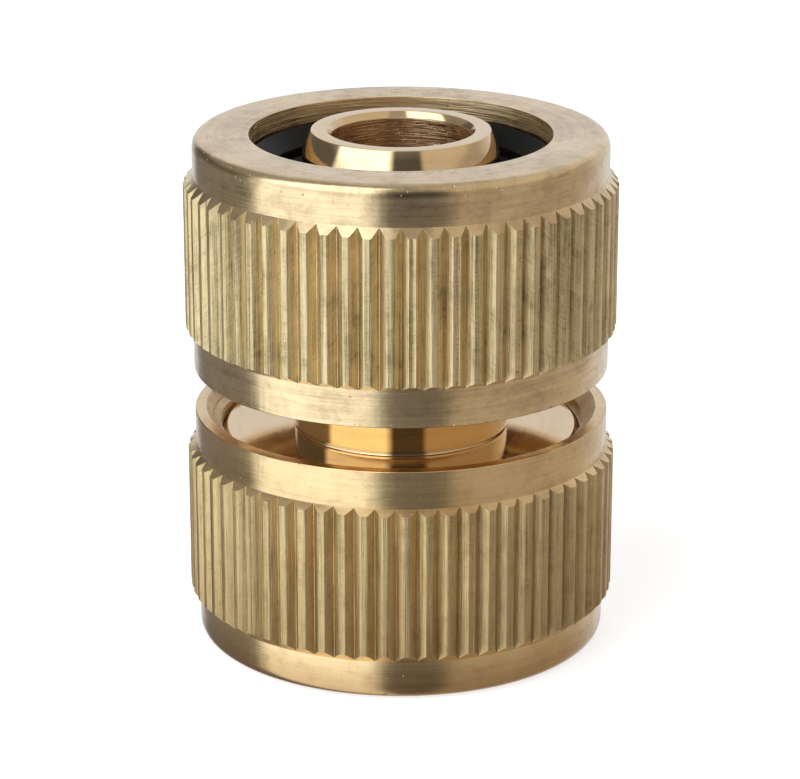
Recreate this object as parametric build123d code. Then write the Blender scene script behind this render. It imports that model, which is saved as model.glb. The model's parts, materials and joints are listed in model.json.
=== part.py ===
"""Double-ended compression hose joiner in brass, for hose of 13 mm (1/2 inch) bore.

Frame: millimetres, +Z up along the axis, origin at the centre of the lower nut's outer face.
Each end is modelled once in its own frame, with +Z pointing out of the hose end, and placed twice:
as it is for the upper end, and turned over about X for the lower end.
"""
import os
from math import cos, radians, sin

from build123d import *

# --- Overall ----------------------------------------------------------------------------------
BODY_LENGTH = 36.2          # tail tip to tail tip
NUT_HEIGHT = 16.45
UPPER_NUT_BASE = 19.5       # height of the upper nut's open end; its outer face is at 35.95
KNURL_RADIUS = 15.0         # over the ribs: a nut of 30 mm across

# --- Nut, heights from the open end -----------------------------------------------------------
MOUTH_RADIUS = 10.43        # plain land that the hose passes through
MOUTH_LENGTH = 1.32
FACE_RADIUS = 13.45         # edge of the flat outer face
MOUTH_BAND_RADIUS = 14.34   # plain band next to the outer face
OPEN_BAND_RADIUS = 14.44    # plain band next to the open end
OPEN_EDGE_BREAK = 0.12
KNURL_OUTER_END = NUT_HEIGHT - 2.75
KNURL_INNER_END = 2.63
KNURL_OUTER_CHAMFER = 0.64  # axial length of the chamfer where the ribs run out
KNURL_INNER_CHAMFER = 0.40
RIB_COUNT = 64
RIB_LAND_SHARE = 0.33       # of the rib pitch
RIB_OVERSIZE = 0.05         # how far the run-out cones are carried past the ribs
GROOVE_RADIUS = 14.36       # bottom of the V grooves between ribs
LOWER_KNURL_TURN = 1.3      # degrees between the two nuts' ribs
RIM_INNER_RADIUS = 13.65    # start of the thread's entry chamfer
CONE_WIDE_RADIUS = 12.1     # wide end of the cone that closes the clamp ring
CONE_WIDE_HEIGHT = NUT_HEIGHT - 5.4
RELIEF_RADIUS = 13.15       # run-out groove at the end of the female thread
RELIEF_TOP = CONE_WIDE_HEIGHT - 0.5
RELIEF_LENGTH = 1.2
RELIEF_SLOPE = 0.4          # axial length of the slope at each end of the relief

# --- Thread between flange and nut: right hand, 1.5 mm pitch, drawn as plain walls -------------
MALE_THREAD_RADIUS = 12.55
FEMALE_THREAD_RADIUS = 12.63

# --- Body -------------------------------------------------------------------------------------
FLANGE_INNER = 3.02         # from mid-length to the flange's waist side
FLANGE_OUTER = 7.66         # from mid-length to the flange's hose side
FLANGE_FACE_RADIUS = 12.2   # flat face; a 45 degree chamfer runs out to the thread crest
WAIST_RADIUS = 7.45
FOOT_SIZE = 0.08            # small fillet's flat where the waist meets each flange
WATERWAY_RADIUS = 4.8
TIP_INNER_RADIUS = 5.12
TIP_CHAMFER_LENGTH = 0.45
TIP_OUTER_RADIUS = 6.17
BARB_RADIUS = 6.8
BARB_LAND = 0.4
TIP_CONE_LENGTH = 1.6
STEM_RADIUS = 6.15
BARB_UNDERCUT = 0.3
BARB_PITCH = 2.75
BARB_COUNT = 3

# --- Clamp ring, heights from its flange-side end --------------------------------------------
RING_TO_NUT_FACE = 1.42     # ring's mouth below the nut's outer face
RING_LENGTH = 7.5
RING_RADIUS = 11.95
RING_MOUTH_RADIUS = 10.15
RING_BORE_RADIUS = 9.1
RING_MOUTH_LAND = 0.1       # flat at the mouth
RING_LEAD_IN = 1.1
RING_LIP_RADIUS = 7.3       # inner radius of the lip that the hose end meets
RING_LIP_LENGTH = 1.0
RIDGE_COUNT = 3
RIDGE_PITCH = 1.4
RIDGE_HEIGHT = 0.35
RIDGE_STEP = 0.1            # axial length of a ridge's steep side
RIDGE_START = 1.0           # from the lead-in to the first ridge
SLIT_WIDTH = 2.0
RELIEF_SLOT_WIDTH = 0.9
RELIEF_SLOT_LENGTH = 4.6
RELIEF_SLOT_COUNT = 7

MID_HEIGHT = BODY_LENGTH / 2
CLEAR = 1.0                 # how far cutting shapes are carried past what they cut
CONE_SLOPE = (CONE_WIDE_RADIUS - MOUTH_RADIUS) / (NUT_HEIGHT - MOUTH_LENGTH - CONE_WIDE_HEIGHT)


def turned(points):
    """Solid of revolution about Z from a closed outline of (radius, height) points."""
    outline = Polyline([(r, 0, z) for r, z in points], close=True)
    return revolve(make_face(outline), axis=Axis.Z)


def knurl_outline(turn):
    """Closed outline of the ribbed section: flat-topped ribs with V grooves between them."""
    pitch = 360 / RIB_COUNT
    half_land = pitch * RIB_LAND_SHARE / 2
    corners = []
    for rib in range(RIB_COUNT):
        groove = rib * pitch + turn
        middle = groove + pitch / 2
        for radius, angle in (
            (GROOVE_RADIUS, groove),
            (KNURL_RADIUS, middle - half_land),
            (KNURL_RADIUS, middle + half_land),
        ):
            corners.append((radius * cos(radians(angle)), radius * sin(radians(angle))))
    return make_face(Polyline(corners, close=True))


def make_nut(knurl_turn):
    """Knurled compression nut, open end at height 0, mouth upwards."""
    knurl_height = KNURL_OUTER_END - KNURL_INNER_END
    ribs = Pos(0, 0, KNURL_INNER_END) * extrude(knurl_outline(knurl_turn), knurl_height)
    carried = 1 + RIB_OVERSIZE / (KNURL_RADIUS - GROOVE_RADIUS)
    ribs &= turned([
        (0, KNURL_INNER_END),
        (GROOVE_RADIUS, KNURL_INNER_END),
        (KNURL_RADIUS + RIB_OVERSIZE, KNURL_INNER_END + KNURL_INNER_CHAMFER * carried),
        (KNURL_RADIUS + RIB_OVERSIZE, KNURL_OUTER_END - KNURL_OUTER_CHAMFER * carried),
        (GROOVE_RADIUS, KNURL_OUTER_END),
        (0, KNURL_OUTER_END),
    ])
    blank = turned([
        (0, 0),
        (OPEN_BAND_RADIUS - OPEN_EDGE_BREAK, 0),
        (OPEN_BAND_RADIUS, OPEN_EDGE_BREAK),
        (OPEN_BAND_RADIUS, KNURL_INNER_END + CLEAR),
        (MOUTH_BAND_RADIUS, KNURL_INNER_END + CLEAR),
        (MOUTH_BAND_RADIUS, NUT_HEIGHT),
        (0, NUT_HEIGHT),
    ])
    corner = blank.edges().group_by(Axis.Z)[-1].sort_by(SortBy.RADIUS)[-1]
    blank = fillet(corner, MOUTH_BAND_RADIUS - FACE_RADIUS)
    entry = RIM_INNER_RADIUS - FEMALE_THREAD_RADIUS
    cavity = turned([
        (0, -CLEAR),
        (RIM_INNER_RADIUS + CLEAR, -CLEAR),
        (FEMALE_THREAD_RADIUS, entry),
        (FEMALE_THREAD_RADIUS, RELIEF_TOP - RELIEF_LENGTH),
        (RELIEF_RADIUS, RELIEF_TOP - RELIEF_LENGTH + RELIEF_SLOPE),
        (RELIEF_RADIUS, RELIEF_TOP - RELIEF_SLOPE),
        (CONE_WIDE_RADIUS, RELIEF_TOP),
        (CONE_WIDE_RADIUS, CONE_WIDE_HEIGHT),
        (MOUTH_RADIUS, NUT_HEIGHT - MOUTH_LENGTH),
        (MOUTH_RADIUS, NUT_HEIGHT + CLEAR),
        (0, NUT_HEIGHT + CLEAR),
    ])
    return (blank + ribs) - cavity


def tail_outline():
    """(radius, height) points up a hose tail, from the flange to the tip, for the upper half."""
    points = [(STEM_RADIUS, FLANGE_OUTER)]
    tip = BODY_LENGTH / 2
    crest = tip - TIP_CONE_LENGTH
    for barb in reversed(range(BARB_COUNT)):
        top = crest - barb * BARB_PITCH
        points += [
            (STEM_RADIUS, top - BARB_LAND - BARB_UNDERCUT),
            (BARB_RADIUS, top - BARB_LAND),
            (BARB_RADIUS, top),
        ]
        if barb:
            points.append((STEM_RADIUS, top + BARB_PITCH - BARB_LAND - 2 * BARB_UNDERCUT))
    points.append((TIP_OUTER_RADIUS, tip))
    return points


def make_body():
    """Turned body: two tails, two threaded flanges and the waist, bored right through."""
    chamfer = MALE_THREAD_RADIUS - FLANGE_FACE_RADIUS
    half = [
        (WAIST_RADIUS, 0),
        (WAIST_RADIUS, FLANGE_INNER - FOOT_SIZE),
        (WAIST_RADIUS + FOOT_SIZE, FLANGE_INNER),
        (FLANGE_FACE_RADIUS, FLANGE_INNER),
        (MALE_THREAD_RADIUS, FLANGE_INNER + chamfer),
        (MALE_THREAD_RADIUS, FLANGE_OUTER - chamfer),
        (FLANGE_FACE_RADIUS, FLANGE_OUTER),
        *tail_outline(),
        (TIP_INNER_RADIUS, MID_HEIGHT),
        (WATERWAY_RADIUS, MID_HEIGHT - TIP_CHAMFER_LENGTH),
    ]
    whole = [(r, MID_HEIGHT - z) for r, z in reversed(half[1:])]
    whole += [(r, MID_HEIGHT + z) for r, z in half[1:]]
    return turned(whole)


def make_clamp_ring():
    """Split clamp ring, flange-side end at height 0, lead-in mouth upwards."""
    cone_start = RING_LENGTH - (RING_RADIUS - RING_MOUTH_RADIUS) / CONE_SLOPE
    ridge_points = []
    for ridge in range(RIDGE_COUNT):
        middle = RING_LENGTH - RING_LEAD_IN - RIDGE_START - ridge * RIDGE_PITCH
        ridge_points += [
            (RING_BORE_RADIUS, middle + RIDGE_HEIGHT),
            (RING_BORE_RADIUS - RIDGE_HEIGHT, middle),
            (RING_BORE_RADIUS, middle - RIDGE_STEP),
        ]
    ring = turned([
        (RING_LIP_RADIUS, 0),
        (RING_RADIUS, 0),
        (RING_RADIUS, cone_start),
        (RING_MOUTH_RADIUS + RING_MOUTH_LAND, RING_LENGTH),
        (RING_MOUTH_RADIUS, RING_LENGTH),
        (RING_BORE_RADIUS, RING_LENGTH - RING_LEAD_IN),
        *ridge_points,
        (RING_BORE_RADIUS, RING_LIP_LENGTH),
        (RING_LIP_RADIUS, RING_LIP_LENGTH),
    ])
    span = 2 * RING_RADIUS
    slit = Pos(0, -span / 2, RING_LENGTH / 2) * Box(SLIT_WIDTH, span, 2 * RING_LENGTH)
    ring -= slit
    for slot in range(1, RELIEF_SLOT_COUNT + 1):
        angle = slot * 360 / (RELIEF_SLOT_COUNT + 1)
        cutter = Pos(0, -span / 2, 0) * Box(RELIEF_SLOT_WIDTH, span, 2 * RELIEF_SLOT_LENGTH)
        ring -= Rot(0, 0, angle) * cutter
    return ring


UPPER_END = Pos(0, 0, UPPER_NUT_BASE)
LOWER_END = Pos(0, 0, NUT_HEIGHT) * Rot(180, 0, 0)
RING_SEAT = Pos(0, 0, NUT_HEIGHT - RING_TO_NUT_FACE - RING_LENGTH)

parts = {
    "body": make_body(),
    "upper_nut": UPPER_END * make_nut(0),
    "lower_nut": LOWER_END * make_nut(LOWER_KNURL_TURN),
    "upper_clamp_ring": UPPER_END * RING_SEAT * make_clamp_ring(),
    "lower_clamp_ring": LOWER_END * RING_SEAT * make_clamp_ring(),
}

os.makedirs("parts", exist_ok=True)
for name, shape in parts.items():
    export_step(shape, f"parts/{name}.step")
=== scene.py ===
# %% [markdown]
# # A brass hose joiner
#
# The fitting joins two garden hoses. A turned brass body runs from end to end, with a barbed tail
# and a threaded flange at each end. A knurled nut screws over each flange, and inside each nut a
# split black ring is squeezed on to the hose. Every piece here is built as a mesh round the same
# axis as the CAD model, in metres, and rides on the CAD body that carries it.

# %% Load the fixed frame
import json
from math import pi, radians, tan

import bmesh
import bpy
import numpy as np
from mathutils import Matrix, Vector

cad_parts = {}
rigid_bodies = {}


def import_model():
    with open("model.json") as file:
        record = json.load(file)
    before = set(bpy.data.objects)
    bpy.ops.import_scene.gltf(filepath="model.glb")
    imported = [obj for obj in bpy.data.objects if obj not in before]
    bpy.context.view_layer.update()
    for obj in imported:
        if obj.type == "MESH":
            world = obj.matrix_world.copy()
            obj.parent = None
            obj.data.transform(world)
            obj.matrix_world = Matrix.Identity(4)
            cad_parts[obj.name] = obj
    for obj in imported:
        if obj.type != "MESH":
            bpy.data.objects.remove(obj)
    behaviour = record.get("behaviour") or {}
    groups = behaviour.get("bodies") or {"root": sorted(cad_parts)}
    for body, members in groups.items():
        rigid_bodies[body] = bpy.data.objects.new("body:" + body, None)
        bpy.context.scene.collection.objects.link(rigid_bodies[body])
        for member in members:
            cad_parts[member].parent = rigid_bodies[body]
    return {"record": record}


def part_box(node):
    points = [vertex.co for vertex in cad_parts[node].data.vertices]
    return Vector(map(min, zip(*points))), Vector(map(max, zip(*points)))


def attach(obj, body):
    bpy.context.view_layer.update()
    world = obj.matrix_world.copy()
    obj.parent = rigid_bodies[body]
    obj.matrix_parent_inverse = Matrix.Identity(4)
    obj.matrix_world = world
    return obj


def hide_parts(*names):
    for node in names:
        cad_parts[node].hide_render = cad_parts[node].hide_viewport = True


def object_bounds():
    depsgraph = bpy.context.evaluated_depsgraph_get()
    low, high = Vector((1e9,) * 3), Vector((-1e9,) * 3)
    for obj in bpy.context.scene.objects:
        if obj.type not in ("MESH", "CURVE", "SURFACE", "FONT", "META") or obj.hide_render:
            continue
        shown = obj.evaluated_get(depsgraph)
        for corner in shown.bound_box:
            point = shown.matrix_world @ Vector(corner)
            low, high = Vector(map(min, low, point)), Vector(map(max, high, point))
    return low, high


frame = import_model()
cad_low, cad_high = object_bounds()

# %% [markdown]
# ## Sizes
#
# Lengths are in millimetres until a point is made, because a turner's drawing is read that way.
# What the CAD model holds is read from it: the nuts' heights, the body's length, the tail and the
# waterway. The rest are the small shapes that only show close up.

# %% Read the driving sizes from the frame
MM = 0.001
mounts = {m["name"]: m for m in frame["record"]["mounts"]}
upper_low, upper_high = (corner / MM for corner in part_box("upper_nut"))
lower_low, lower_high = (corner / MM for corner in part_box("lower_nut"))
body_low, body_high = (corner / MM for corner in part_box("body"))
ring_low, ring_high = (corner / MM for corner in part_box("upper_clamp_ring"))

NUT_HEIGHT = upper_high.z - upper_low.z
KNURL_RADIUS = 14.99
MIDDLE = (body_low.z + body_high.z) / 2
HALF_BODY = body_high.z - MIDDLE
BARB_RADIUS = mounts["upper_hose_tail"]["dims"]["r_mm"]
WATERWAY_RADIUS = mounts["waterway"]["dims"]["r_mm"]
RING_LENGTH = ring_high.z - ring_low.z
RING_RADIUS = ring_high.x
print("nut", round(NUT_HEIGHT, 2), "body", round(2 * HALF_BODY, 2), "ring", round(RING_LENGTH, 2))

# %% [markdown]
# ## Turning by hand
#
# A lathe makes rings, so the meshes are made of rings too: a row of points right round the axis
# for each step along the outline, and faces between neighbouring rows. Blender's Spin or Screw
# would do for a plain outline, but not for ribs and threads, where the radius changes on the way
# round. Rows of points take both. Each row repeats its first point at its end, and welding the
# seam closes the mesh.

# %% Make a closed mesh from rows of points
WELD = 4e-7
SHARP_ANGLE = 33


def station_angles(ribs, shares, turn):
    """Angles round the axis: the same few stations on every rib, first and last the same place."""
    pitch = 2 * pi / ribs
    angles = [turn + (rib + share) * pitch for rib in range(ribs) for share in shares]
    return np.array(angles + [angles[0] + 2 * pi])


def row(angles, radius, height):
    """One row of points; radius and height are numbers or one value per station."""
    radius = np.broadcast_to(radius, angles.shape)
    height = np.broadcast_to(height, angles.shape)
    return np.stack([radius * np.cos(angles), radius * np.sin(angles), height], axis=1) * MM


def skin(name, rows, marks=None, closed=True):
    """Mesh object through rows of points. marks gives a material index for each gap between rows."""
    count = len(rows[0])
    points = np.concatenate(rows)
    faces = []
    material = []
    gaps = len(rows) if closed else len(rows) - 1
    for gap in range(gaps):
        low = gap * count
        high = (gap + 1) % len(rows) * count
        for i in range(count - 1):
            faces.append((low + i, low + i + 1, high + i + 1, high + i))
        material += [marks[gap] if marks else 0] * (count - 1)
    mesh = bpy.data.meshes.new(name)
    mesh.from_pydata(points.tolist(), [], faces)
    mesh.polygons.foreach_set("material_index", material)
    piece = bpy.data.objects.new(name, mesh)
    bpy.context.scene.collection.objects.link(piece)
    return piece


def weld(piece):
    """Close the seam, drop faces with no area, and point every face outwards."""
    work = bmesh.new()
    work.from_mesh(piece.data)
    bmesh.ops.remove_doubles(work, verts=work.verts, dist=WELD)
    bmesh.ops.dissolve_degenerate(work, edges=work.edges, dist=WELD)
    bmesh.ops.recalc_face_normals(work, faces=work.faces)
    open_edges = sum(1 for edge in work.edges if len(edge.link_faces) != 2)
    work.to_mesh(piece.data)
    work.free()
    print(piece.name, len(piece.data.polygons), "faces,", open_edges, "open edges")


def smooth(piece):
    """Smooth shading that keeps crisp edges crisp and wide faces flat."""
    piece.data.shade_smooth()
    piece.data.set_sharp_from_angle(angle=radians(SHARP_ANGLE))
    weighted = piece.modifiers.new("weighted", "WEIGHTED_NORMAL")
    weighted.mode = "FACE_AREA"
    weighted.weight = 80
    weighted.keep_sharp = True


# %% [markdown]
# ## Rounded corners
#
# No real corner is sharp. Each corner of an outline is written as a radius, a height and how much
# it is rounded, and a few points on an arc take its place. A bevel modifier would do this too, but
# it would also find the ribs and the threads, which want roundings of their own.

# %% Round the corners of an outline
EDGE = 0.06


def rounded(corners, default=EDGE):
    """Turn (radius, height[, rounding]) corners into outline points, arcs where they turn."""
    points = []
    last = len(corners) - 1
    for index, corner in enumerate(corners):
        here = np.array(corner[:2], float)
        size = corner[2] if len(corner) > 2 else default
        if index in (0, last) or size == 0:
            points.append(tuple(here))
            continue
        back = np.array(corners[index - 1][:2], float) - here
        ahead = np.array(corners[index + 1][:2], float) - here
        back_length, ahead_length = np.hypot(*back), np.hypot(*ahead)
        back, ahead = back / back_length, ahead / ahead_length
        turn = pi - np.arccos(np.clip(back @ ahead, -1, 1))
        reach = min(size * tan(turn / 2), 0.48 * back_length, 0.48 * ahead_length)
        start, end = here + back * reach, here + ahead * reach
        steps = 3 if size < 0.3 else 8
        for step in range(steps + 1):
            t = step / steps
            curve = start * (1 - t) ** 2 + here * 2 * t * (1 - t) + end * t ** 2
            points.append(tuple(curve))
    return points


# %% [markdown]
# ## The thread
#
# Flange and nut share a right-hand thread, so turning the nut one way drives it towards the
# waist. The thread is a real helix here, not a picture of one: the rows climb by one pitch on the
# way round and stop where they meet the flange's chamfer. The nut's groove is cut a little wider
# than the flange's ridge, and both start at the same place, so they stay in mesh as the nut turns.

# %% Rows of points that follow the thread
PITCH = 1.5
MALE_CREST, MALE_ROOT = 12.95, 12.42
FEMALE_CREST, FEMALE_ROOT = 12.58, 13.1
CREST_WIDTH = PITCH / 8
FLANK = tan(radians(30))
PLAY = 0.09


def thread_rows(angles, low, high, envelope, widths, lead):
    """Rows up a helix, cut off square at two heights. widths give the ridge from its middle out."""
    halves, radii = zip(*widths)
    offsets = [-PITCH / 2, *(-half for half in reversed(halves)), *halves]
    offsets = sorted(offsets + [(a + b) / 2 for a, b in zip(offsets, offsets[1:] + [PITCH / 2])])
    climb = PITCH * angles / (2 * pi) + lead
    first = int((low - climb.max()) // PITCH) - 1
    last = int((high - climb.min()) // PITCH) + 1
    rows = []
    for turn in range(first, last + 1):
        for offset in offsets:
            height = np.clip(turn * PITCH + offset + climb, low, high)
            phase = np.abs((height - climb + PITCH / 2) % PITCH - PITCH / 2)
            rows.append(row(angles, envelope(height, np.interp(phase, halves, radii)), height))
    return rows


male_widths = [
    (CREST_WIDTH / 2, MALE_CREST),
    (CREST_WIDTH / 2 + (MALE_CREST - MALE_ROOT) * FLANK, MALE_ROOT),
]
female_widths = [
    (CREST_WIDTH / 2 + PLAY - (FEMALE_ROOT - MALE_CREST) * FLANK, FEMALE_ROOT),
    (CREST_WIDTH / 2 + PLAY + (MALE_CREST - FEMALE_CREST) * FLANK, FEMALE_CREST),
]
print("ridge at its foot", round(2 * male_widths[1][0], 2), "mm of a", PITCH, "mm pitch")

# %% [markdown]
# ## The body
#
# The body is turned from one bar. The grooving tool leaves fine saw-toothed feed marks along the
# waist and a very small cone where it meets each flange. The marks are modelled, because they set
# which way the waist throws the light. Each flange has one thread, and outside it stands a tail
# with three barbs: a hose slides up the slopes and can't slip back over the steps. One half is
# made from mid-length outwards, and a copy turned end for end makes the other.

# %% Outline of half the body, from mid-length outwards
FLANGE_IN, FLANGE_OUT = 3.02, 7.66
FLANGE_FACE = 12.2
WAIST, FOOT_HEIGHT, FOOT_WIDTH = 7.45, 0.13, 0.045
PLAIN_LENGTH = 0.3
FEED_MARK = 0.12
FEED_DEPTH = 0.013
STEM = 6.15
TIP_OUTER, TIP_INNER = 6.17, 5.12
FIRST_CREST = HALF_BODY - 1.6
BARB_LAND, BARB_PITCH, BARB_COUNT = 0.4, 2.75, 3
BODY_STATIONS = 512


def flange_envelope(height, radius):
    """The flange's chamfers cut the thread down at both ends."""
    return np.minimum(radius, FLANGE_FACE + np.minimum(height - FLANGE_IN, FLANGE_OUT - height))


def tail_corners():
    """Corners of one tail, from the flange to the tip."""
    corners = [(STEM, FLANGE_OUT, 0.15)]
    for barb in reversed(range(BARB_COUNT)):
        crest = FIRST_CREST - barb * BARB_PITCH
        corners += [
            (STEM, crest - BARB_LAND - 0.3, 0.1),
            (BARB_RADIUS, crest - BARB_LAND, 0.12),
            (BARB_RADIUS, crest, 0.5),
        ]
        if barb:
            corners.append((STEM, crest + BARB_PITCH - BARB_LAND - 0.6, 0.3))
    return corners + [(TIP_OUTER, HALF_BODY, 0.07)]


around = station_angles(BODY_STATIONS, [0.0], 0.0)
feed_marks = []
for mark in range(round((FLANGE_IN - PLAIN_LENGTH) / FEED_MARK)):
    start = mark * FEED_MARK
    feed_marks += [(WAIST, start), (WAIST - FEED_DEPTH, start + FEED_MARK * 0.97)]
foot = rounded([
    (WAIST, feed_marks[-1][1] + 0.01),
    (WAIST, FLANGE_IN - FOOT_HEIGHT, 0.01),
    (WAIST + FOOT_WIDTH, FLANGE_IN, 0.01),
    (FLANGE_FACE - 0.25, FLANGE_IN),
])
tail = rounded([(FLANGE_FACE - 0.25, FLANGE_OUT)] + tail_corners() + [
    (TIP_INNER, HALF_BODY, 0.08),
    (WATERWAY_RADIUS, HALF_BODY - 0.45, 0.15),
    (WATERWAY_RADIUS, 0),
])
flange = thread_rows(around, FLANGE_IN, FLANGE_OUT, flange_envelope, male_widths, 0)
half_rows = [row(around, r, z) for r, z in feed_marks + foot] + flange
half_rows += [row(around, r, z) for r, z in tail]
print("half body:", len(half_rows), "rows of", len(around))

# %% Two halves make the body
BARE, BORED, UNTOUCHED = 0, 1, 2
bore_start = len(half_rows) - 5
half_marks = [UNTOUCHED] * len(feed_marks) + [BARE] * (bore_start - len(feed_marks))
half_marks += [BORED] * (len(half_rows) - 1 - bore_start)
UPPER_PLACE = Matrix.Translation((0, 0, MIDDLE * MM))
LOWER_PLACE = UPPER_PLACE @ Matrix.Rotation(pi, 4, "X")


def join_halves(name, rows, marks):
    """Place a half and its turned-over copy, and join them at mid-length."""
    halves = [skin(name, rows, marks, closed=False) for end in range(2)]
    for half, place in zip(halves, (UPPER_PLACE, LOWER_PLACE)):
        half.data.transform(place)
    work = bmesh.new()
    for half in halves:
        work.from_mesh(half.data)
    bpy.data.objects.remove(halves[1])
    work.to_mesh(halves[0].data)
    work.free()
    halves[0].name = name
    weld(halves[0])
    return halves[0]


body = join_halves("turned_body", half_rows, half_marks)
smooth(body)
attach(body, "body")
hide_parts("body")

# %% [markdown]
# ## The nuts
#
# A nut starts as drawn bar with 64 flat-topped ribs. The lathe turns a plain band at each end,
# rounds the mouth's edge, bores the cone that closes the clamp ring and cuts the thread. Drawn ribs
# are never quite alike: some are a little low or narrow and some have a hollow crest, so each rib
# gets its own small errors from a fixed random start.

# %% Stations across one rib
RIBS = 64
LAND = 0.33
SIDE = (1 - LAND) / 2
SHARES = [0.018, 0.17, SIDE - 0.02, SIDE + 0.016, 0.42, 0.5, 0.58,
          1 - SIDE - 0.016, 1 - SIDE + 0.02, 0.83, 0.982]
RISE = [0.0, 0.48, 0.95, 1.0, 1.0, 1.0, 1.0, 1.0, 0.95, 0.48, 0.0]
LENGTH_STEPS = 28


def along_rib(generator, count, size):
    """Slow waves along the ribs: one curve per rib, size in the unit of what it changes."""
    position = np.linspace(0, 1, count)
    waves = np.zeros((count, RIBS))
    for frequency in (1.0, 2.3, 4.1, 7.7):
        phase = generator.uniform(0, 2 * pi, RIBS)
        strength = generator.uniform(0, size / frequency ** 0.5, RIBS)
        waves += strength * np.sin(2 * pi * frequency * position[:, None] + phase)
    return waves


def knurl_rows(angles, low, high, groove, low_band, high_band, low_run, high_run, seed):
    """Rows up the ribbed middle of a nut, with the ribs run out on a cone at both ends."""
    generator = np.random.default_rng(seed)
    full = KNURL_RADIUS - groove
    drop = generator.uniform(0.0, 0.05, RIBS)
    hollow = np.where(generator.random(RIBS) < 0.45, generator.uniform(0.02, 0.07, RIBS), 0.0)
    left = generator.normal(0, 0.018, RIBS)
    right = generator.normal(0, 0.018, RIBS)
    left_wave = along_rib(generator, LENGTH_STEPS, 0.008)
    right_wave = along_rib(generator, LENGTH_STEPS, 0.008)
    drop_wave = along_rib(generator, LENGTH_STEPS, 0.010)
    crest = np.array(RISE) > 0.9
    middle = np.array([0, 0, 0, 0, 0.6, 1, 0.6, 0, 0, 0, 0])
    lean_left = np.array([0, 0.5, 1, 1, 0.4, 0, 0, 0, 0, 0, 0])
    lean_right = lean_left[::-1]
    pitch = 2 * pi / RIBS
    rows = [row(angles, low_band, low)]
    for step in range(LENGTH_STEPS):
        share = step / (LENGTH_STEPS - 1)
        rise = np.outer(np.ones(RIBS), RISE) * full
        rise -= np.outer(drop + np.abs(drop_wave[step]), crest)
        rise -= np.outer(hollow, middle)
        shift = np.outer(left + left_wave[step], lean_left) + np.outer(right + right_wave[step], lean_right)
        radius = (groove + rise).ravel()
        radius = np.append(radius, radius[0])
        shift = shift.ravel() * pitch
        turned = angles + np.append(shift, shift[0])
        knee_low = low + low_run * (radius - low_band) / (KNURL_RADIUS - low_band)
        knee_high = high - high_run * (radius - high_band) / (KNURL_RADIUS - high_band)
        rows.append(row(turned, radius, knee_low * (1 - share) + knee_high * share))
    rows.append(row(angles, high_band, high))
    return rows


# %% Build both nuts
MOUTH, FACE = 10.43, 13.45
OPEN_BAND, MOUTH_BAND = 14.44, 14.34
RIM_INNER = 13.65
KNURL_LOW, KNURL_HIGH = 2.63, NUT_HEIGHT - 2.75
RUN_LOW, RUN_HIGH = 0.40, 0.64
CONE_WIDE, CONE_WIDE_HEIGHT = 12.1, NUT_HEIGHT - 5.4
MOUTH_LENGTH = 1.32
RELIEF, RELIEF_END = 13.15, CONE_WIDE_HEIGHT - 0.5
THREAD_END = RELIEF_END - 0.8
TURNED, DRAWN, BORED_NUT = 0, 1, 2


def nut_envelope(height, radius):
    """The entry chamfer opens the thread at the rim, and the relief groove ends it."""
    return np.maximum(np.maximum(radius, RIM_INNER - height), RELIEF + height - THREAD_END)


def make_nut(name, place, base, turn, groove, seed):
    """One nut in its own frame, open end at height 0, then moved on to its end of the body."""
    angles = station_angles(RIBS, SHARES, radians(turn))
    rim = rounded([(RIM_INNER, 0), (OPEN_BAND, 0, 0.12), (OPEN_BAND, KNURL_LOW - 0.02)])
    shoulder = rounded([
        (MOUTH_BAND, KNURL_HIGH + 0.02),
        (MOUTH_BAND, NUT_HEIGHT, MOUTH_BAND - FACE),
        (MOUTH, NUT_HEIGHT),
        (MOUTH, NUT_HEIGHT - 0.1),
    ])
    bore = rounded([
        (MOUTH, NUT_HEIGHT - 0.1),
        (MOUTH, NUT_HEIGHT - MOUTH_LENGTH),
        (CONE_WIDE, CONE_WIDE_HEIGHT, 0.1),
        (CONE_WIDE, RELIEF_END),
        (RELIEF, RELIEF_END - 0.4),
        (RELIEF, THREAD_END + 0.02),
    ])
    thread = thread_rows(angles, 0, THREAD_END, nut_envelope, female_widths, -base)
    ribs = knurl_rows(angles, KNURL_LOW, KNURL_HIGH, groove, OPEN_BAND, MOUTH_BAND,
                      RUN_LOW, RUN_HIGH, seed)
    sections = [
        (TURNED, [row(angles, r, z) for r, z in rim] + ribs[:1]),
        (DRAWN, ribs[1:-2]),
        (TURNED, ribs[-2:]),
        (TURNED, [row(angles, r, z) for r, z in shoulder]),
        (BORED_NUT, [row(angles, r, z) for r, z in bore] + thread[::-1]),
    ]
    rows = [each for mark, section in sections for each in section]
    marks = [mark for mark, section in sections for each in section]
    nut = skin(name, rows, marks)
    nut.data.transform(place @ Matrix.Translation((0, 0, base * MM)))
    weld(nut)
    smooth(nut)
    return nut


upper_nut = make_nut("knurled_nut_upper", UPPER_PLACE, upper_low.z - MIDDLE, 0.0, 14.38, 7)
lower_nut = make_nut("knurled_nut_lower", LOWER_PLACE, MIDDLE - lower_high.z, 1.3, 14.47, 19)
for nut, node in ((upper_nut, "upper_nut"), (lower_nut, "lower_nut")):
    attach(nut, node)
    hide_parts(node)

# %% [markdown]
# ## The clamp rings
#
# The black ring is moulded in nylon. Its funnel guides the hose in, three ridges inside bite the
# hose, and one slit right through lets the nut's cone close it. Seven short slots from the flange
# side make it bend evenly. The ring is turned like the rest, and the slit and slots are cut out
# with a boolean, which is the simplest tool for straight cuts across a round shape.

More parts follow.
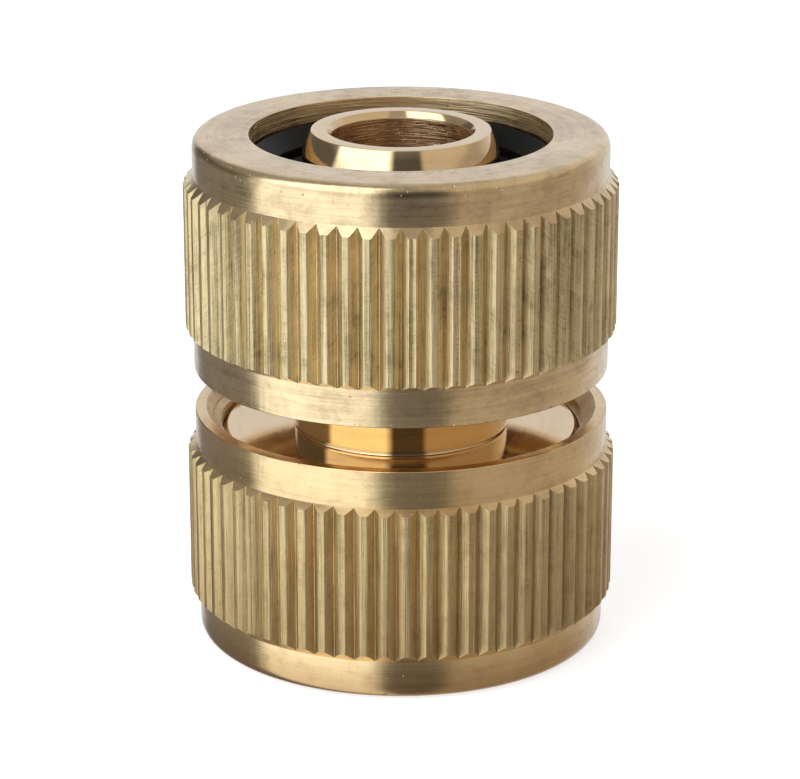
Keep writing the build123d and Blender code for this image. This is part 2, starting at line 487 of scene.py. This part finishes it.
# %% Build both clamp rings
RING_MOUTH, RING_BORE, RING_LIP = 10.15, 9.1, 7.3
RING_LEAD_IN, RING_LIP_LENGTH = 1.1, 1.0
CONE_SLOPE = (CONE_WIDE - MOUTH) / (NUT_HEIGHT - MOUTH_LENGTH - CONE_WIDE_HEIGHT)
SLIT_WIDTH, SLOT_WIDTH, SLOT_LENGTH, SLOT_COUNT = 2.0, 0.9, 4.6, 8


def cutting_bars():
    """One mesh of eight bars that stand on the ring's radii: a long wide one and seven short ones."""
    work = bmesh.new()
    for slot in range(SLOT_COUNT):
        width, top = (SLOT_WIDTH, SLOT_LENGTH) if slot else (SLIT_WIDTH, RING_LENGTH + 1)
        size = Vector((width, RING_RADIUS - RING_LIP + 2, top + 1)) * MM
        centre = Vector((0, -(RING_RADIUS + RING_LIP) / 2, (top - 1) / 2)) * MM
        turn = Matrix.Rotation(slot * 2 * pi / SLOT_COUNT, 4, "Z")
        place = turn @ Matrix.Translation(centre) @ Matrix.Diagonal((*size, 1))
        bmesh.ops.create_cube(work, size=1, matrix=place)
    mesh = bpy.data.meshes.new("cutting_bars")
    work.to_mesh(mesh)
    work.free()
    return bpy.data.objects.new("cutting_bars", mesh)


def make_ring(name, place, base):
    """One clamp ring, flange-side end at height 0."""
    angles = station_angles(256, [0.0], 0.0)
    ridges = []
    for ridge in range(3):
        middle = RING_LENGTH - RING_LEAD_IN - 1.0 - ridge * 1.4
        ridges += [(RING_BORE, middle + 0.35, 0.05), (RING_BORE - 0.35, middle, 0.04),
                   (RING_BORE, middle - 0.1, 0.02)]
    cone_start = RING_LENGTH - (RING_RADIUS - RING_MOUTH) / CONE_SLOPE
    outline = rounded([
        (RING_LIP + 0.5, 0),
        (RING_RADIUS, 0, 0.15),
        (RING_RADIUS, cone_start, 0.2),
        (RING_MOUTH + 0.1, RING_LENGTH, 0.05),
        (RING_MOUTH, RING_LENGTH, 0.05),
        (RING_BORE, RING_LENGTH - RING_LEAD_IN, 0.3),
        *ridges,
        (RING_BORE, RING_LIP_LENGTH, 0.15),
        (RING_LIP, RING_LIP_LENGTH, 0.1),
        (RING_LIP, 0, 0.1),
        (RING_LIP + 0.5, 0),
    ])[:-1]
    ring = skin(name, [row(angles, r, z) for r, z in outline])
    weld(ring)
    bars = cutting_bars()
    bpy.context.scene.collection.objects.link(bars)
    cut = ring.modifiers.new("cut", "BOOLEAN")
    cut.operation, cut.solver, cut.object = "DIFFERENCE", "EXACT", bars
    bpy.context.view_layer.update()
    ready = ring.evaluated_get(bpy.context.evaluated_depsgraph_get())
    ring.data = bpy.data.meshes.new_from_object(ready)
    ring.modifiers.clear()
    bpy.data.objects.remove(bars)
    ring.data.transform(place @ Matrix.Translation((0, 0, base * MM)))
    weld(ring)
    smooth(ring)
    return ring


lower_ring_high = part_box("lower_clamp_ring")[1].z / MM
upper_ring = make_ring("split_ring_upper", UPPER_PLACE, ring_low.z - MIDDLE)
lower_ring = make_ring("split_ring_lower", LOWER_PLACE, MIDDLE - lower_ring_high)
for ring, node in ((upper_ring, "upper_clamp_ring"), (lower_ring, "lower_clamp_ring")):
    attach(ring, node)
    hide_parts(node)

# %% [markdown]
# ## Brass as the tools left it
#
# Nothing is plated or polished here, so each surface shows the tool that made it. A lathe leaves
# fine lines that run round the axis; drawing leaves lines along the bar. Both come from one noise
# texture with its coordinates stretched one way. The lines change the roughness and the bump, and
# a slower noise lets the brass drift between fresh yellow and a dull olive brown.

# %% Helpers for building a material
def add(tree, kind, **settings):
    """A new shader node with some of its settings."""
    node = tree.nodes.new("ShaderNode" + kind)
    for key, value in settings.items():
        setattr(node, key, value)
    return node


def feed(tree, node, *values):
    """Give a node its inputs in order: a socket is linked, a number or a colour is set."""
    for socket, value in zip(node.inputs, values):
        if isinstance(value, bpy.types.NodeSocket):
            tree.links.new(value, socket)
        elif value is not None:
            socket.default_value = value
    return node.outputs[0]


def maths(tree, operation, *values):
    return feed(tree, add(tree, "Math", operation=operation), *values)


def vector(tree, operation, *values):
    node = add(tree, "VectorMath", operation=operation)
    feed(tree, node, *values)
    return node.outputs["Value" if operation == "LENGTH" else "Vector"]


def noise(tree, place, scale, detail, roughness=0.5):
    node = add(tree, "TexNoise")
    tree.links.new(place, node.inputs["Vector"])
    node.inputs["Scale"].default_value = scale
    node.inputs["Detail"].default_value = detail
    node.inputs["Roughness"].default_value = roughness
    return node.outputs["Fac"]


def remap(tree, value, low, high, new_low, new_high):
    node = add(tree, "MapRange")
    feed(tree, node, value, low, high, new_low, new_high)
    return node.outputs["Result"]


def blend_colour(tree, share, first, second):
    node = add(tree, "Mix", data_type="RGBA")
    for name, value in (("Factor_Float", share), ("A_Color", first), ("B_Color", second)):
        socket = next(s for s in node.inputs if s.identifier == name)
        if isinstance(value, bpy.types.NodeSocket):
            tree.links.new(value, socket)
        else:
            socket.default_value = value
    return next(s for s in node.outputs if s.identifier == "Result_Color")


def new_material(name):
    material = bpy.data.materials.new(name)
    material.use_nodes = True
    tree = material.node_tree
    shader = tree.nodes["Principled BSDF"]
    return material, tree, shader


# %% Coordinates that follow the tool
def object_place(tree):
    return add(tree, "TexCoord").outputs["Object"]


def height_and_distance(tree, place):
    """Height along the axis and distance from it."""
    parts = add(tree, "SeparateXYZ")
    tree.links.new(place, parts.inputs[0])
    flat = vector(tree, "MULTIPLY", place, (1, 1, 0))
    return parts.outputs["Z"], vector(tree, "LENGTH", flat), flat


def lathe_lines(tree, place, spacing, breaks, detail):
    """Lines round the axis, spacing metres apart; breaks is how often a line changes on its way."""
    height, distance, flat = height_and_distance(tree, place)
    across = maths(tree, "MULTIPLY", maths(tree, "ADD", height, distance), 1 / spacing)
    heading = vector(tree, "SCALE", vector(tree, "NORMALIZE", flat))
    heading.node.inputs["Scale"].default_value = breaks
    parts = add(tree, "SeparateXYZ")
    tree.links.new(heading, parts.inputs[0])
    around = feed(tree, add(tree, "CombineXYZ"), parts.outputs["X"], parts.outputs["Y"], across)
    return noise(tree, around, 1, detail, 0.6)


def drawn_lines(tree, place, spacing, length, detail):
    """Lines along the axis, spacing metres apart and about length metres long."""
    stretched = vector(tree, "MULTIPLY", place, (1 / spacing, 1 / spacing, 1 / length))
    return noise(tree, stretched, 1, detail, 0.6)


def pits(tree, place, spacing, size, share):
    """Small round dents: 1 inside a dent, 0 outside; share of the cells have one."""
    cells = add(tree, "TexVoronoi")
    tree.links.new(place, cells.inputs["Vector"])
    cells.inputs["Scale"].default_value = 1 / spacing
    parts = add(tree, "SeparateColor")
    tree.links.new(cells.outputs["Color"], parts.inputs[0])
    chosen = maths(tree, "LESS_THAN", parts.outputs[0], share)
    dent = remap(tree, cells.outputs["Distance"], size / spacing * 0.6, size / spacing, 1.0, 0.0)
    return maths(tree, "MULTIPLY", chosen, dent)


NICK_DEPTH = 0.00003


def edge_nicks(tree, place):
    """Small nicks only along the nuts' outer edges, where fittings knock together."""
    height, distance, _ = height_and_distance(tree, place)
    near = None
    for edge in (lower_low.z, lower_high.z, upper_low.z, upper_high.z - 0.4):
        gap = maths(tree, "ABSOLUTE", maths(tree, "SUBTRACT", height, edge * MM))
        here = remap(tree, gap, 0.0002, 0.0007, 1.0, 0.0)
        near = maths(tree, "MAXIMUM", near, here) if near else here
    outside = remap(tree, distance, 0.0131, 0.0135, 0.0, 1.0)
    zone = maths(tree, "MULTIPLY", near, outside)
    small = pits(tree, place, 0.00034, 0.00007, 0.20)
    large = pits(tree, place, 0.0011, 0.00013, 0.28)
    return maths(tree, "MULTIPLY", zone, maths(tree, "MAXIMUM", small, large))


# %% One recipe for every brass
# The lower nut is mixed a little towards yellow: painted warm light, bounced from the floor.
FLOOR_BOUNCE_YELLOW = (0.84, 0.555, 0.235, 1)


def brass(name, fresh, dull, rough, lines, depth, stain, pitted, brushed, streaked=0.8,
          floor_shade_height=0.0029, floor_shade_strength=0.72, lined=0.3, nicked=False, yellow=0.0):
    """Brass whose lines give bump and roughness, with slow stains, a few pits, painted shade darkening it
    towards the floor and painted warm floor light on the lower nut.
    """
    material, tree, shader = new_material(name)
    place = object_place(tree)
    marks = remap(tree, lines(tree, place), 0.36, 0.64, 0.0, 1.0)
    blotch = noise(tree, place, 240, 4, 0.62)
    cloud = noise(tree, place, 900, 3, 0.6)
    streak = lathe_lines(tree, place, 0.00022, 5.0, 4)
    fleck = noise(tree, place, 4200, 2, 0.6)
    dents = pits(tree, place, 0.0011, 0.00011, pitted)
    if nicked:
        nicks = edge_nicks(tree, place)
    age = maths(tree, "ADD", remap(tree, blotch, 0.42, 0.68, 0.0, stain),
                remap(tree, cloud, 0.5, 0.72, 0.0, stain * 0.7))
    age = maths(tree, "ADD", age, remap(tree, fleck, 0.64, 0.72, 0.0, stain * 0.8))
    age = maths(tree, "ADD", age, remap(tree, marks, 0.0, 1.0, lined, -lined))
    age = maths(tree, "ADD", age, remap(tree, streak, 0.55, 0.72, 0.0, stain * streaked))
    age = maths(tree, "ADD", age, maths(tree, "MULTIPLY", dents, 0.8))
    node = add(tree, "Clamp")
    tree.links.new(age, node.inputs["Value"])
    colour = blend_colour(tree, node.outputs[0], (*fresh, 1), (*dull, 1))
    shade, _, _ = height_and_distance(tree, place)
    # Painted warm light: below the lower nut's top the colour is mixed towards yellow, for the floor's
    # bounce.
    lower_nut = remap(tree, shade, 0.0164, 0.0166, yellow, 0.0)
    colour = blend_colour(tree, lower_nut, colour, FLOOR_BOUNCE_YELLOW)
    # Painted shade: the colour darkens towards the floor, standing in for the floor's shade mirrored in the
    # metal.
    foot = remap(tree, shade, 0.0002, floor_shade_height, floor_shade_strength, 0.0)
    colour = blend_colour(tree, foot, colour, (*(c * t for c, t in zip(dull, (0.68, 0.49, 0.33))), 1))
    tree.links.new(colour, shader.inputs["Base Color"])
    shader.inputs["Metallic"].default_value = 1.0
    roughness = maths(tree, "ADD", remap(tree, marks, 0.0, 1.0, rough * 0.75, rough * 1.2),
                      remap(tree, cloud, 0.4, 0.75, 0.0, rough * 0.5))
    tree.links.new(roughness, shader.inputs["Roughness"])
    if brushed:
        radial = add(tree, "Tangent", direction_type="RADIAL", axis="Z")
        tree.links.new(radial.outputs[0], shader.inputs["Tangent"])
        shader.inputs["Anisotropic"].default_value = brushed
        shader.inputs["Anisotropic Rotation"].default_value = 0.25
    relief = maths(tree, "SUBTRACT", marks, maths(tree, "MULTIPLY", dents, 3.0))
    relief = maths(tree, "SUBTRACT", relief, remap(tree, streak, 0.60, 0.72, 0.0, 1.5 * streaked))
    bump = add(tree, "Bump")
    bump.inputs["Distance"].default_value = depth
    tree.links.new(relief, bump.inputs["Height"])
    if nicked:
        knocks = add(tree, "Bump", invert=True)
        knocks.inputs["Distance"].default_value = NICK_DEPTH
        tree.links.new(nicks, knocks.inputs["Height"])
        tree.links.new(bump.outputs["Normal"], knocks.inputs["Normal"])
        bump = knocks
    tree.links.new(bump.outputs["Normal"], shader.inputs["Normal"])
    return material


# %% Tool lines of each finish
def turned_lines(tree, place):
    fine = lathe_lines(tree, place, 0.00009, 2.2, 3)
    coarse = lathe_lines(tree, place, 0.00042, 0.9, 2)
    return maths(tree, "ADD", maths(tree, "MULTIPLY", fine, 0.55), maths(tree, "MULTIPLY", coarse, 0.45))


def faced_lines(tree, place):
    fine = lathe_lines(tree, place, 0.00007, 1.5, 3)
    coarse = lathe_lines(tree, place, 0.0006, 0.5, 2)
    return maths(tree, "ADD", maths(tree, "MULTIPLY", fine, 0.4), maths(tree, "MULTIPLY", coarse, 0.6))


def bored_lines(tree, place):
    fine = lathe_lines(tree, place, 0.00010, 2.0, 3)
    coarse = lathe_lines(tree, place, 0.00032, 1.0, 3)
    return maths(tree, "ADD", maths(tree, "MULTIPLY", fine, 0.5), maths(tree, "MULTIPLY", coarse, 0.5))


def rib_lines(tree, place):
    fine = drawn_lines(tree, place, 0.00007, 0.006, 3)
    coarse = drawn_lines(tree, place, 0.00025, 0.015, 2)
    chatter = lathe_lines(tree, place, 0.00010, 30.0, 2)
    both = maths(tree, "ADD", maths(tree, "MULTIPLY", fine, 0.45), maths(tree, "MULTIPLY", coarse, 0.35))
    return maths(tree, "ADD", both, maths(tree, "MULTIPLY", chatter, 0.2))


turned_brass = brass("turned_brass", (0.89, 0.66, 0.385), (0.55, 0.385, 0.21), 0.19,
                     turned_lines, 0.0000034, 0.62, 0.22, 0.5, nicked=True, yellow=0.36)
# The drawn ribs carry the painted floor shade up to 20 mm, over the whole lower nut.
drawn_brass = brass("drawn_brass", (0.84, 0.645, 0.355), (0.34, 0.245, 0.12), 0.36, rib_lines,
                    0.000020, 0.45, 0.10, 0, 0.15, 0.020, 0.55, lined=0.8,
                    yellow=0.30)
bored_brass = brass("bored_brass", (0.96, 0.75, 0.46), (0.80, 0.56, 0.31), 0.36, bored_lines,
                    0.000022, 0.45, 0.10, 0)
waterway_brass = brass("waterway_brass", (0.82, 0.57, 0.33), (0.36, 0.20, 0.09), 0.27, bored_lines,
                       0.000022, 0.60, 0.10, 0, lined=0.5)
polished_brass = brass("polished_brass", (0.88, 0.64, 0.37), (0.70, 0.47, 0.24), 0.07, faced_lines,
                       0.0000004, 0.30, 0.12, 0, 0.1)
untouched_brass = brass("untouched_brass", (0.76, 0.53, 0.275), (0.68, 0.44, 0.20), 0.05,
                        faced_lines, 0.0000003, 0.25, 0.0, 0, 0.1)

black_nylon, tree, shader = new_material("black_nylon")
grain = noise(tree, add(tree, "TexCoord").outputs["Object"], 9000, 2)
shade = noise(tree, add(tree, "TexCoord").outputs["Object"], 400, 2)
colour = blend_colour(tree, shade, (0.006, 0.006, 0.006, 1), (0.014, 0.012, 0.011, 1))
tree.links.new(colour, shader.inputs["Base Color"])
tree.links.new(remap(tree, shade, 0.3, 0.7, 0.18, 0.34), shader.inputs["Roughness"])
shader.inputs["Specular IOR Level"].default_value = 0.14
bump = add(tree, "Bump")
bump.inputs["Distance"].default_value = 0.000004
tree.links.new(grain, bump.inputs["Height"])
tree.links.new(bump.outputs["Normal"], shader.inputs["Normal"])

for material in (polished_brass, waterway_brass, untouched_brass):
    body.data.materials.append(material)
for nut in (upper_nut, lower_nut):
    for material in (turned_brass, drawn_brass, bored_brass):
        nut.data.materials.append(material)
for ring in (upper_ring, lower_ring):
    ring.data.materials.clear()
    ring.data.materials.append(black_nylon)

# %% [markdown]
# ## Studio
#
# Turned metal is only as good as what it mirrors. The world is a plain studio drawn by direction:
# a tall soft light at the left front, a dark gap where the camera stands, a broad weaker panel on
# the right, a bright wall behind and a dark corner between the wall and the soft light. Lamps and
# boards could do the same, but lights drawn by direction stay out of every view of the piece.
# A few even lights are enough: their edges are what gives the metal its bands. The floor is pale
# and lets mirror rays through, so the sides of the nuts show the studio and not their own shadow.

# %% World
scene = bpy.context.scene
scene.view_settings.view_transform = "Standard"
world = bpy.data.worlds.new("studio")
scene.world = world
world.use_nodes = True
tree = world.node_tree
tree.nodes.clear()
direction = add(tree, "TexCoord").outputs["Generated"]
parts = add(tree, "SeparateXYZ")
tree.links.new(direction, parts.inputs[0])
bearing = maths(tree, "ARCTAN2", parts.outputs["X"], maths(tree, "MULTIPLY", parts.outputs["Y"], -1.0))
bearing = maths(tree, "ADD", maths(tree, "DIVIDE", bearing, 2 * pi), 0.5)


# %% Lights of the studio, round the object
# Each light is even from its first bearing to its second, in degrees from the camera's side with
# + to the right, and fades into the next one. The back wall comes first and last, as one light.
DAYLIGHT, COOL = (1.0, 1.1, 1.16), (1.0, 1.05, 1.15)
PLAIN, WARM = (1.0, 1.0, 1.0), (1.0, 0.94, 0.84)
BACK_WALL_LEFT = (-180, -160, COOL)
DARK_REAR = (-150, -90, PLAIN)
SOFT_BOX = (-83, -18, DAYLIGHT)
DARK_FRONT = (-9, 24, PLAIN)
SIDE_PANEL = (30, 110, WARM)
BACK_WALL_RIGHT = (150, 180, COOL)


def light_round(wall, rear, box, front, panel):
    """Colour by bearing at one height, from the strength that each light has there."""
    ramp = add(tree, "ValToRGB")
    elements = ramp.color_ramp.elements
    elements.remove(elements[-1])
    lights = (BACK_WALL_LEFT, DARK_REAR, SOFT_BOX, DARK_FRONT, SIDE_PANEL, BACK_WALL_RIGHT)
    for (first, second, tint), strength in zip(lights, (wall, rear, box, front, panel, wall)):
        for angle in (first, second):
            stop = elements[0] if angle == -180 else elements.new(angle / 360 + 0.5)
            stop.color = (*(strength * part for part in tint), 1)
    tree.links.new(bearing, ramp.inputs["Fac"])
    return ramp.outputs["Color"]


low_ring = light_round(wall=0.75, rear=0.22, box=1.3, front=0.18, panel=0.45)
mid_ring = light_round(wall=0.75, rear=0.12, box=1.15, front=0.06, panel=0.42)
high_ring = light_round(wall=0.75, rear=0.27, box=2.0, front=0.1, panel=0.62)
top_ring = light_round(wall=0.5, rear=0.35, box=1.8, front=0.38, panel=0.6)
height = parts.outputs["Z"]
ring_light = blend_colour(tree, remap(tree, height, -0.12, 0.06, 0.0, 1.0), low_ring, mid_ring)
ring_light = blend_colour(tree, remap(tree, height, 0.335, 0.405, 0.0, 1.0), ring_light, high_ring)
ring_light = blend_colour(tree, remap(tree, height, 0.56, 0.74, 0.0, 1.0), ring_light, top_ring)
overhead = remap(tree, height, 0.965, 0.99, 0.0, 1.0)
studio = blend_colour(tree, overhead, ring_light, (0.45, 0.43, 0.39, 1))
background = add(tree, "Background")
tree.links.new(studio, background.inputs["Color"])
backdrop = add(tree, "Background")
backdrop.inputs["Color"].default_value = (1, 1, 1, 1)
switch = add(tree, "MixShader")
tree.links.new(add(tree, "LightPath").outputs["Is Camera Ray"], switch.inputs[0])
tree.links.new(background.outputs[0], switch.inputs[1])
tree.links.new(backdrop.outputs[0], switch.inputs[2])
tree.links.new(switch.outputs[0], add(tree, "OutputWorld").inputs["Surface"])

# %% Floor
FLOOR_SIZE = 3.0
work = bmesh.new()
bmesh.ops.create_grid(work, x_segments=1, y_segments=1, size=FLOOR_SIZE)
floor_mesh = bpy.data.meshes.new("floor")
work.to_mesh(floor_mesh)
work.free()
floor = bpy.data.objects.new("floor", floor_mesh)
floor.location.z = cad_low.z
scene.collection.objects.link(floor)
floor_material, tree, shader = new_material("pale_floor")
shader.inputs["Base Color"].default_value = (0.60, 0.60, 0.60, 1)
shader.inputs["Roughness"].default_value = 0.9
shader.inputs["Emission Color"].default_value = (1, 1, 1, 1)
shader.inputs["Emission Strength"].default_value = 0.70
floor.data.materials.append(floor_material)
floor.visible_glossy = False
floor.visible_shadow = False

# %% Camera
CAMERA_PLACE = (-0.00007, -0.21266, 0.08918)
CAMERA_PITCH = 18.66
camera_data = bpy.data.cameras.new("camera")
camera_data.sensor_width = 36.0
camera_data.lens = 143.71
camera_data.clip_start = 0.01
camera = bpy.data.objects.new("camera", camera_data)
camera.location = CAMERA_PLACE
camera.rotation_euler = (radians(90 - CAMERA_PITCH), 0, 0)
scene.collection.objects.link(camera)
scene.camera = camera

# %% Print the CAD box
print("CAD box", [round(v / MM, 2) for v in (*cad_low, *cad_high)])
